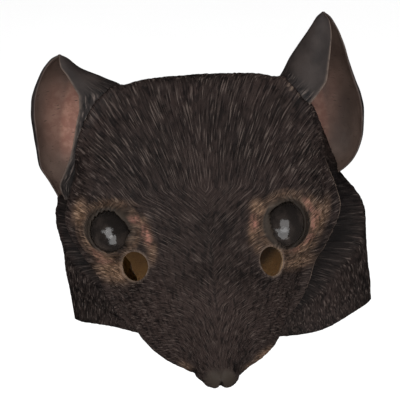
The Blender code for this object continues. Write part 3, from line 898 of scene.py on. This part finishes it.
ear_tree = tree_of(np.concatenate([ear_sheet(name, side)[0].reshape(-1, 3) for side, name in EAR_SIDES]))
high_up = np.nonzero(flat[:, 2] > 0.1 * CROWN_REACH)[0]
ear_far = np.full(len(flat), 1.0)
ear_far[high_up] = [ear_tree.find(flat[i])[2] for i in high_up]
swell += 0.0021 * bell(ear_far, 0.0034)
swell += 0.0022 * dab(px, py, 60, 197, 4, 6) * smooth(-0.5, 0.0, toward)
skin = flat + flat_normal * swell[:, None]

# Paint on the outside of the skin, in the front view
# Columns: column, row, half width, half height, turn and strength
TAN = (
    (80, 214, 7, 13, 5, 0.95), (91, 243, 5.5, 13, -38, 0.9), (105, 258, 14, 6, 25, 1.0),
    (115, 270, 18, 12, 12, 1.0), (147, 236, 6, 17, -12, 0.4), (152, 252, 5, 11, 5, 0.45),
    (131, 212, 9, 5, 40, 0.5), (118, 202, 17, 3.5, 8, 0.4), (140, 222, 6, 7, 45, 0.6),
    (259, 208, 8, 9, -35, 0.9), (254, 228, 5.5, 15, 5, 0.75), (258, 246, 5, 8, -10, 0.4),
    (285, 195, 18, 4, -8, 0.5), (308, 204, 8, 8, 30, 0.8), (316, 222, 8, 18, 12, 0.95),
    (303, 248, 14, 7, -35, 0.95), (296, 262, 18, 8, -12, 0.7), (325, 212, 5, 14, 10, 0.45),
)
PINK = (
    (136, 219, 4, 3.5, 40, 1.0), (146, 234, 4.5, 10, -15, 0.85), (98, 254, 8, 4, 35, 0.6),
    (106, 262, 10, 3, 10, 0.5), (254, 222, 4, 8, -5, 0.95), (309, 206, 3.5, 8, -30, 0.9),
    (314.5, 222, 4, 11, 15, 0.9), (307, 240, 4, 9, 50, 0.7), (297, 249, 7, 3.5, -35, 0.65),
)
LIPS = ((264, 353, 12, 5, -35, 0.75), (250, 363, 9, 4, -25, 0.4), (186, 363, 9, 4, 25, 0.35))


def patches(table, seen):
    """Paint from a table of ovals, each as strong as its last column says, where the skin is seen."""
    most = np.zeros(len(flat))
    for x, y, rx, ry, turn, strength in table:
        most = np.maximum(most, strength * dab(px, py, x, y, rx, ry, turn, 1.5) * seen)
    return most


pink = patches(PINK, facing)
tan = np.maximum(patches(TAN, facing), patches(LIPS, smooth(-0.5, 0.0, toward)))
near_eye = smooth(-0.0002, 0.0012, lid_any)
tan = np.maximum(tan, 0.42 * near_eye * (1 - smooth(0.0035, 0.0080, lid_any + 0.0015 * wrinkle)))
tan *= near_eye
pink *= near_eye
smooth_skin = np.maximum(nose, (1 - smooth(0.0004, 0.0016, lid_any)) * facing)
side_on = smooth(55, 62, np.tile(from_top, rings))
fold = STATIONS[FOLD_ROW]
# A light line along the fold's crest, a painted highlight together with wear, and lighter lines round the
# peepholes, at the hair seams by the ears and along the lid rims
edge = 0.9 * bell(station - fold + 0.0004, 0.0008) * facing * side_on
edge = np.maximum(edge, 0.8 * bell(peep_any - 0.0004, 0.0006) * facing)
tuft = dab(px, py, 291, 87, 8, 13, -20, 1.5) * smooth(0.4, 0.7, relief) * smooth(0.4, 0.5, tone)
edge = np.maximum(edge, 0.9 * tuft * facing)
left_seam = line(px, py, ((84, 93), (81, 120), (77, 145), (69, 165), (56, 187)), 2.2)
edge = np.maximum(edge, 0.55 * left_seam * facing * smooth(0.3, 0.6, relief) * smooth(0.3, 0.4, tone))
edge = np.maximum(edge, 0.55 * bell(lid_any - 0.0006, 0.0005) * wrinkle * smooth(-0.2, 0.4, toward))
# Painted light: lighter strokes on the lower face, which faces downward
tone += 0.9 * smooth(262, 300, py) * facing * (1 - smooth(fold - 0.003, fold, station))
# Painted shade: a dark band on the skirt behind the fold, and darker paint in the lid creases and wrinkles,
# round the eyes, in the nose dents and cleft and just inside the lid rims
behind = smooth(fold + 0.0008, fold + 0.0035, station)
behind *= 1 - smooth(STATIONS[BEHIND_ROW], STATIONS[BEHIND_ROW + 1] + 0.004, station)
shade = 0.80 * behind * side_on
shade = np.maximum(shade, 0.70 * creases)
shade = np.maximum(shade, 0.55 * bell(eye_any - 0.0003, 0.0007) * facing)
shade = np.maximum(shade, 0.8 * np.maximum(nose_dents, cleft))
shade = np.maximum(shade, 0.5 * (1 - smooth(0.0, 0.0008, lid_any)) * smooth(-0.0010, -0.0002, lid_any))

# The skin as one closed body, hollow and open at the neck, the eyes and the peepholes
slots = (fur, bare, edges)
tip = form_points([STATIONS[0]], [0.0])[0, 0]
verts = np.concatenate([[tip], skin, [skin[-around:].mean(axis=0)]])
faces, ring_at, place = closed_faces(rings, around)
across_way = np.radians(np.append(angles, 360.0) - 180.0)
steady = np.interp(at, [0, 0.05, 0.12, total], [0.035, 0.045, 0.085, 0.09])
flow_uv = np.stack([across_way[place] * steady[ring_at], at[ring_at]], axis=2).reshape(-1, 2)
rim_uv = np.zeros((around * 3, 2))
hood = new_mesh("hood_skin_looks", verts, faces, {"flow": np.concatenate([rim_uv, flow_uv, rim_uv])}, slots)
index = np.zeros(len(hood.data.polygons), np.int32)
index[-around:] = 2
hood.data.polygons.foreach_set("material_index", index)
solid = hood.copy()
solid.data = hood.data.copy()

near = BVHTree.FromPolygons(verts.tolist(), faces.tolist())
inner_at = np.linspace(INSIDE_FROM, total, INNER_RINGS)
inner_angles = np.arange(INNER_ANGLES) * 360.0 / INNER_ANGLES
rows, reach = sections_at(inner_at, inner_angles)
inner = []
for i in range(INNER_RINGS):
    ring = ring_points(rows[i], reach[i], inner_angles)
    ray = unit(ring - ring_points(rows[i], 0.0 * reach[i], inner_angles))
    inside = ring - ray * WALL
    for k in range(INNER_ANGLES):
        for _ in range(8):
            if i == INNER_RINGS - 1:
                break
            gap = near.find_nearest(inside[k])[3]
            if gap > 0.9 * WALL:
                break
            inside[k] -= ray[k] * max(WALL - gap, 0.1 * WALL)
    inner.append(inside)
inner.append(inner[-1] + (inner[-1] - inner[-2]) * 1.6)
inner = np.array(inner)
inner_tip = inner[0].mean(axis=0) - (0, INSIDE_TIP, 0)
inner_verts = np.concatenate([[inner_tip], inner.reshape(-1, 3), [inner[-1].mean(axis=0)]])
inner_faces = closed_faces(len(inner), INNER_ANGLES)[0]
no_flow = {"flow": np.zeros((len(inner_faces) * 3, 2))}
cutters = [new_mesh("inside", inner_verts, inner_faces, no_flow, slots, 1)]
for side in (-1, 1):
    half = eye_half + FIT_GAP
    axes = eye_axes(side)
    cutters.append(ellipsoid("socket", half, eye_middle(side), axes, EYE_AROUND, EYE_LEVELS, slots, 2))
    half = (PEEP_WIDE / 2, PEEP_TALL / 2, PEEP_CUT / 2)
    cutters.append(tube("peephole", half, peep_middle(side), peep_axes(side), PEEP_AROUND, slots, 2))
cut(hood, cutters)

found = nearest_index(skin, points_of(hood))
paint(hood, "masks", np.stack([tan, pink, smooth_skin], 1)[found])
for name, values in (("relief", relief), ("tone", tone), ("edge", edge), ("shade", shade)):
    paint(hood, name, values[found])
seated(hood)
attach(hood, "root")
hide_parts("hood_skin")


def ear_piece(name, side):
    """One cupped ear: a curved sheet with rounded edges, which the head cuts afterwards."""
    grid, centres, levels = ear_sheet(name, side)
    share = np.linspace(0, 1, EAR_STEPS)
    normal = unit(np.cross(np.gradient(grid, axis=0), np.gradient(grid, axis=1)))
    normal *= np.sign(((centres[:, None] - grid) * normal).sum(axis=2).mean())
    sheet = grid.reshape(-1, 3)
    ripple = 0.0005 * value_noise(sheet, 0.018, 21) + 0.0002 * value_noise(sheet, 0.007, 22)
    grid = grid + normal * ripple.reshape(grid.shape[:2])[:, :, None]
    thick = EAR_WALL / 2 * (1 - 0.35 * smooth(0.9, 1.0, np.linspace(0, 1, EAR_RINGS)))
    slim = 0.52 + 0.48 * smooth(0.0, 0.12, np.minimum(share, 1 - share))
    out_start = unit(grid[:, 0] - grid[:, 1])
    out_end = unit(grid[:, -1] - grid[:, -2])
    bend = np.pi * np.arange(1, EAR_ROUND) / EAR_ROUND
    loops = []
    for i in range(EAR_RINGS):
        off = normal[i] * (thick[i] * slim)[:, None]
        w = thick[i] * slim[0]
        end = w * (np.outer(np.cos(bend), normal[i, -1]) + np.outer(np.sin(bend), out_end[i]))
        start = w * (np.outer(np.sin(bend), out_start[i]) - np.outer(np.cos(bend), normal[i, 0]))
        front = grid[i] + off
        rear = grid[i] - off
        loops.append(np.concatenate([front, grid[i, -1] + end, rear[::-1], grid[i, 0] + start]))
    extra = len(bend)
    turning = np.linspace(0, 1, extra + 2)[1:-1]
    inside = np.concatenate([np.ones(EAR_STEPS), turning[::-1], np.zeros(EAR_STEPS), turning])
    place_share = np.concatenate([share, np.ones(extra), share[::-1], np.zeros(extra)])
    top = grid[-1]
    top_line = np.concatenate([top, np.repeat(top[-1:], extra, 0), top[::-1], np.repeat(top[:1], extra, 0)])
    lift = np.array([0, 0, thick[-1]])
    out = loops[-1] - top_line
    loops = np.array(loops + [top_line + out * math.cos(b) + lift * math.sin(b) for b in EAR_CAP])
    rings_up, count = loops.shape[:2]
    verts = loops.reshape(-1, 3)
    faces, ring_at, place = grid_faces(rings_up, count)
    sides = []
    for base, turn_it in ((0, True), ((rings_up - 1) * count, False)):
        for s in range(EAR_STEPS - 1):
            a = base + s
            b = a + 1
            d = base + 2 * EAR_STEPS + extra - 1 - s
            c = d - 1
            sides += [(a, b, c), (a, c, d)] if turn_it else [(a, c, b), (a, d, c)]
        for first in (EAR_STEPS - 1, 2 * EAR_STEPS + extra - 1):
            loop = [base + (first + q) % count for q in range(extra + 2)]
            for q in range(1, len(loop) - 1):
                pair = loop[q:q + 2]
                sides.append((loop[0], *(pair[::-1] if turn_it else pair)))
    wide_way = EAR_DRAWN_WIDE * np.append(place_share, 0.0)
    capped = np.append(np.arange(EAR_RINGS), [EAR_RINGS - 1] * len(EAR_CAP))
    up_way = levels[capped, 0] / 1000
    uv = np.stack([wide_way[place], up_way[ring_at]], axis=2).reshape(-1, 2)
    uv = np.concatenate([uv, np.zeros((len(sides) * 3, 2))])
    faces = np.concatenate([faces, np.array(sides)])
    made = new_mesh(name + "_looks", verts, faces, {"flow": uv}, (ear_paint,))
    bm = bmesh.new()
    bm.from_mesh(made.data)
    bmesh.ops.recalc_face_normals(bm, faces=bm.faces)
    bm.to_mesh(made.data)
    bm.free()
    inside_all = np.tile(inside, rings_up)
    share_all = np.tile(place_share, rings_up)
    level_all = np.repeat(capped / (EAR_RINGS - 1), count)
    return made, verts, inside_all, share_all, level_all


def keep_largest(obj):
    """Deletes the loose scraps that a cut left of a piece."""
    bm = bmesh.new()
    bm.from_mesh(obj.data)
    left = set(bm.faces)
    groups = []
    while left:
        stack = [left.pop()]
        group = list(stack)
        while stack:
            for e in stack.pop().edges:
                for f in e.link_faces:
                    if f in left:
                        left.remove(f)
                        stack.append(f)
                        group.append(f)
        groups.append(group)
    groups.sort(key=len)
    for group in groups[:-1]:
        bmesh.ops.delete(bm, geom=group, context="FACES")
    bm.to_mesh(obj.data)
    bm.free()


skin_tree = tree_of(skin)
for side, name in EAR_SIDES:
    ear, ear_verts, inside, share, level = ear_piece(name, side)
    head = solid.copy()
    head.data = solid.data.copy()
    bpy.context.collection.objects.link(head)
    grown = points_of(head)
    grown[1:-1] += flat_normal * SEAM_GAP
    head.data.vertices.foreach_set("co", grown.astype(np.float32).ravel())
    head.data.update()
    cut(ear, [head])
    keep_largest(ear)
    spots = points_of(ear)
    found = nearest_index(ear_verts, spots)
    ex, ey = front_view(spots)
    # Painted shade on the inside of the ears: darker in the left cup's upper part, over the whole inside of
    # the right ear, at a dark spot and along a dark slit near its lower end
    if side < 0:
        blush = np.maximum(dab(ex, ey, 72, 122, 13, 38, 6, 2.0), 0.45 * dab(ex, ey, 58, 118, 15, 36, 0, 1.5))
        shade = 0.45 * dab(ex, ey, 62, 66, 16, 14, 0, 1.2)
        tuft_far = 0.014
        rim_lighter = 0.55
    else:
        blush = 0.8 * dab(ex, ey, 318, 112, 10, 34, -10, 1.8)
        blush = np.maximum(blush, 0.32 * dab(ex, ey, 330, 104, 11, 34, 0, 1.2))
        shade = np.maximum(0.22, 0.45 * dab(ex, ey, 345, 125, 16, 50, 0, 1.5))
        shade = np.maximum(shade, 0.8 * dab(ex, ey, 317, 135, 3, 2.5, 0, 1.0))
        shade = np.maximum(shade, 0.9 * line(ex, ey, ((320, 154), (334, 169)), 1.8))
        tuft_far = 0.009
        rim_lighter = 0.85
    inner_side = inside[found]
    skin_far = np.array([skin_tree.find(p)[2] for p in spots])
    tuft_near = 1 - np.minimum(smooth(0.003, tuft_far, skin_far), smooth(0.30, 0.62, level[found]))
    paint(ear, "masks", np.stack([blush, inner_side, tuft_near * (1 - inner_side)], 1))
    paint(ear, "shade", shade * inner_side)
    paint(ear, "edge", rim_lighter * bell(1 - share[found], 0.007))
    seated(ear)
    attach(ear, "root")
    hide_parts(name)

eyes = []
for side, name in EYE_SIDES:
    axes = eye_axes(side)
    eye = ellipsoid(name + "_looks", eye_half, eye_middle(side), axes, EYE_AROUND, EYE_LEVELS, (eye_paint,))
    seated(eye)
    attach(eye, "root")
    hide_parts(name)
    eyes.append(eye)
bpy.data.objects.remove(solid)

# Floor, light and camera
look = Look("floor_paint")
pale = look.mix(look.noise(look.place(), 3.0), (0.92, 0.92, 0.92), (0.945, 0.945, 0.945))
look.finish(Base_Color=pale, Roughness=0.9)
corners = np.array([(-1, -1, 0), (1, -1, 0), (1, 1, 0), (-1, 1, 0)]) * FLOOR_HALF + (0, 0, FLOOR_AT)
floor = new_mesh("floor", corners, np.array([(0, 1, 2), (0, 2, 3)]), slots=(look.material,))
floor.visible_glossy = False

world = bpy.data.worlds.new("studio")
bpy.context.scene.world = world
world.use_nodes = True
background = world.node_tree.nodes["Background"].inputs
background["Color"].default_value = (1.0, 1.0, 1.0, 1.0)
background["Strength"].default_value = 1.0
world.cycles_visibility.glossy = False
bpy.context.scene.view_settings.view_transform = "Standard"


def lamp(name, size, power, placed, only):
    """Square-cornered lamp that lights the given pieces and doesn't show itself."""
    data = bpy.data.lights.new(name, "AREA")
    data.shape = "RECTANGLE"
    data.size, data.size_y = size
    data.energy = power
    made = bpy.data.objects.new(name, data)
    bpy.context.collection.objects.link(made)
    made.matrix_world = placed
    made.light_linking.receiver_collection = only
    made.visible_camera = False
    return made


def area_light(name, turn, rise, away, size, power, only):
    """Soft lamp aimed at the face, placed by its turn and rise round the object."""
    a = math.radians(turn)
    e = math.radians(rise)
    out = Vector((math.sin(a) * math.cos(e), -math.cos(a) * math.cos(e), math.sin(e)))
    placed = (-out).to_track_quat("-Z", "Y").to_matrix().to_4x4()
    placed.translation = Vector((0.0, -0.03, -0.07)) + out * away
    lamp(name, size, power, placed, only)


matt = bpy.data.collections.new("matt")
for piece in bpy.context.scene.objects:
    if piece.type == "MESH" and piece not in eyes:
        matt.objects.link(piece)
area_light("key", -38, 52, 2.2, (1.2, 1.2), 19, matt)
area_light("fill", 48, 30, 2.2, (1.4, 1.4), 9, matt)
area_light("front", -6, 4, 2.2, (1.2, 1.2), 13, matt)
right, up, back = (np.array(v) for v in view_axes())


def seen_in_eye(side, x, y):
    """Point of the eye at a place of the front view, and the mirrored way of the camera's line there."""
    start = back * VIEW_AWAY
    ray = right * (x - VIEW_CENTRE[0]) * PIXEL - up * (y - VIEW_CENTRE[1]) * PIXEL - start
    ray = unit(ray)
    axes = eye_axes(side)
    o = axes @ (start - eye_middle(side)) / eye_half
    d = axes @ ray / eye_half
    hit = (-(o @ d) - math.sqrt((o @ d) ** 2 - (d @ d) * (o @ o - 1))) / (d @ d)
    normal = unit(((o + hit * d) / eye_half) @ axes)
    return start + hit * ray, ray - 2 * (ray @ normal) * normal


def window(name, side, x0, y0, x1, y1, radiance, away=0.28):
    """Lamp for one eye alone, placed and sized by the patch of the front view in which it shows."""
    x, y = (x0 + x1) / 2, (y0 + y1) / 2
    point, out = seen_in_eye(side, x, y)
    ends = []
    for place in ((x0, y), (x1, y), (x, y0), (x, y1)):
        start, way = seen_in_eye(side, *place)
        share = (away - (start - point) @ out) / max(way @ out, 0.3)
        ends.append(start + way * share)
    wide = ends[1] - ends[0]
    size = (np.linalg.norm(wide), np.linalg.norm(ends[3] - ends[2]))
    out = Vector(out)
    upward = out.cross(Vector(wide)).normalized()
    placed = Matrix((upward.cross(out), upward, out)).transposed().to_4x4()
    placed.translation = Vector(point - SEAT) + out * away
    own = bpy.data.collections.new(name)
    own.objects.link(eyes[0 if side < 0 else 1])
    made = lamp(name, size, math.pi * size[0] * size[1] * radiance, placed, own)
    made.light_linking.blocker_collection = own


window("window_left", -1, 106, 228, 112.5, 237, 4.8)
window("window_left_low", -1, 109.5, 235, 116, 245, 4.0)
window("window_left_spur", -1, 102, 230.5, 107, 233, 3.0)
window("window_right", 1, 280.5, 220, 289, 233, 3.2)
window("window_right_low", 1, 276, 229, 287.5, 240, 3.2)
window("window_right_spur", 1, 272.5, 230, 278, 238, 2.2)

right, up, back = (Vector(v) for v in view_axes())
column, row = (place - PICTURE / 2 for place in VIEW_CENTRE)
target = Vector(-SEAT) + up * row * PIXEL - right * column * PIXEL
placed = Matrix((right, up, back)).transposed().to_4x4()
placed.translation = target + back * VIEW_AWAY
camera = bpy.data.objects.new("camera", bpy.data.cameras.new("camera"))
bpy.context.collection.objects.link(camera)
camera.matrix_world = placed
camera.data.sensor_width = SENSOR
camera.data.lens = SENSOR * VIEW_AWAY / (PICTURE * PIXEL)
camera.data.clip_start = 0.01
bpy.context.scene.camera = camera
